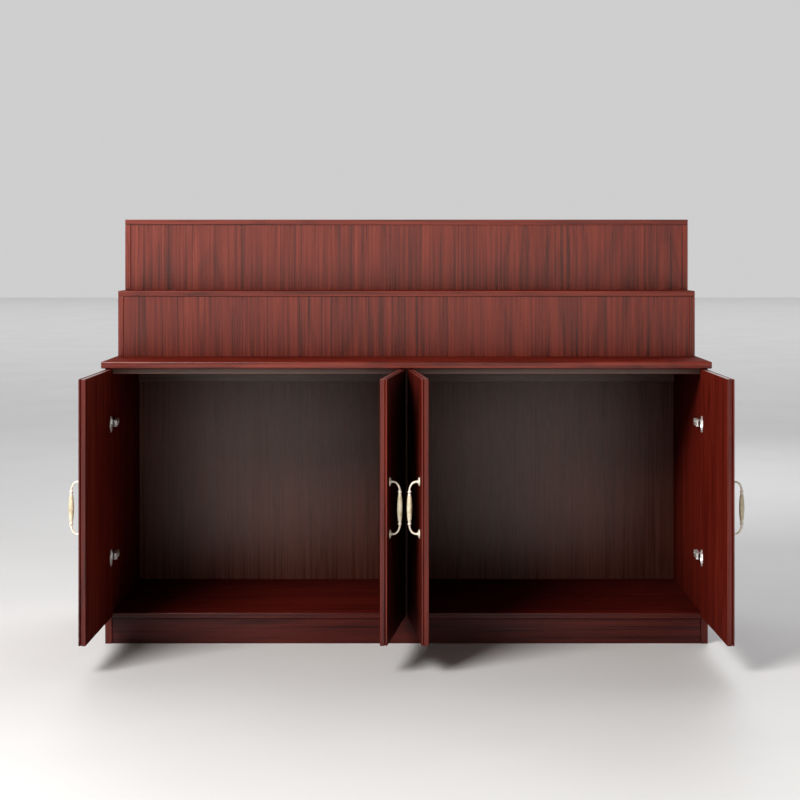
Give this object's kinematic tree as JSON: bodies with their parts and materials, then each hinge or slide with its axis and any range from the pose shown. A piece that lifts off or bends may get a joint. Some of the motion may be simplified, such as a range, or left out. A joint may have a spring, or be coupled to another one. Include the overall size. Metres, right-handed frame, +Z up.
{
  "type": "household altar cabinet",
  "caption": "Low two-bay wooden altar cabinet with hinged doors standing open and two full-width steps on its countertop for figures, lamps and offerings.",
  "frame": {"origin": "on the floor, under the middle of the box that the cabinet fills with its doors open as in the rest pose", "axes": "+X to the viewer's right along the cabinet's width, +Y to the back, +Z up; the doors open towards -Y"},
  "size_m": [1.6542, 0.9516, 1.12],
  "materials": {
    "cabinet_board": "satin",
    "countertop_board": "satin",
    "step_board": "satin",
    "door_board": "satin",
    "back_panel": "satin",
    "hinge_steel": "nickel-plated",
    "handle_metal": "polished",
    "grip_ceramic": "glazed"
  },
  "bodies": {
    "carcass": {"left_side": "cabinet_board", "right_side": "cabinet_board", "bottom_shelf": "cabinet_board", "centre_partition": "cabinet_board", "front_plinth": "cabinet_board", "rear_plinth": "cabinet_board", "centre_support": "cabinet_board", "countertop": "countertop_board", "left_front_rail": "cabinet_board", "left_rear_rail": "cabinet_board", "left_back_panel": "back_panel", "right_front_rail": "cabinet_board", "right_rear_rail": "cabinet_board", "right_back_panel": "back_panel", "lower_step_left_end": "step_board", "lower_step_right_end": "step_board", "lower_step_face": "step_board", "lower_step_back": "step_board", "lower_step_tread": "step_board", "upper_step_left_end": "step_board", "upper_step_right_end": "step_board", "upper_step_face": "step_board", "upper_step_back": "step_board", "upper_step_tread": "step_board", "outer_left_upper_hinge_arm": "hinge_steel", "outer_left_lower_hinge_arm": "hinge_steel", "inner_left_upper_hinge_arm": "hinge_steel", "inner_left_lower_hinge_arm": "hinge_steel", "inner_right_upper_hinge_arm": "hinge_steel", "inner_right_lower_hinge_arm": "hinge_steel", "outer_right_upper_hinge_arm": "hinge_steel", "outer_right_lower_hinge_arm": "hinge_steel"},
    "outer_left_leaf": {"outer_left_door": "door_board", "outer_left_upper_hinge_cup": "hinge_steel", "outer_left_lower_hinge_cup": "hinge_steel", "outer_left_handle_upper_post": "handle_metal", "outer_left_handle_lower_post": "handle_metal", "outer_left_handle_grip": "grip_ceramic"},
    "inner_left_leaf": {"inner_left_door": "door_board", "inner_left_upper_hinge_cup": "hinge_steel", "inner_left_lower_hinge_cup": "hinge_steel", "inner_left_handle_upper_post": "handle_metal", "inner_left_handle_lower_post": "handle_metal", "inner_left_handle_grip": "grip_ceramic"},
    "inner_right_leaf": {"inner_right_door": "door_board", "inner_right_upper_hinge_cup": "hinge_steel", "inner_right_lower_hinge_cup": "hinge_steel", "inner_right_handle_upper_post": "handle_metal", "inner_right_handle_lower_post": "handle_metal", "inner_right_handle_grip": "grip_ceramic"},
    "outer_right_leaf": {"outer_right_door": "door_board", "outer_right_upper_hinge_cup": "hinge_steel", "outer_right_lower_hinge_cup": "hinge_steel", "outer_right_handle_upper_post": "handle_metal", "outer_right_handle_lower_post": "handle_metal", "outer_right_handle_grip": "grip_ceramic"}
  },
  "joints": [
    {"name": "outer_left_hinge", "type": "hinge", "parent": "carcass", "child": "outer_left_leaf", "pos_m": [-0.784, -0.089, 0.398], "axis": [0, 0, -1], "range_deg": [-91, 14]},
    {"name": "inner_left_hinge", "type": "hinge", "parent": "carcass", "child": "inner_left_leaf", "pos_m": [-0.008, -0.089, 0.398], "axis": [0, 0, 1], "range_deg": [-83.5, 0]},
    {"name": "inner_right_hinge", "type": "hinge", "parent": "carcass", "child": "inner_right_leaf", "pos_m": [0.008, -0.089, 0.398], "axis": [0, 0, -1], "range_deg": [-85, 0]},
    {"name": "outer_right_hinge", "type": "hinge", "parent": "carcass", "child": "outer_right_leaf", "pos_m": [0.784, -0.089, 0.398], "axis": [0, 0, 1], "range_deg": [-91, 14]}
  ]
}
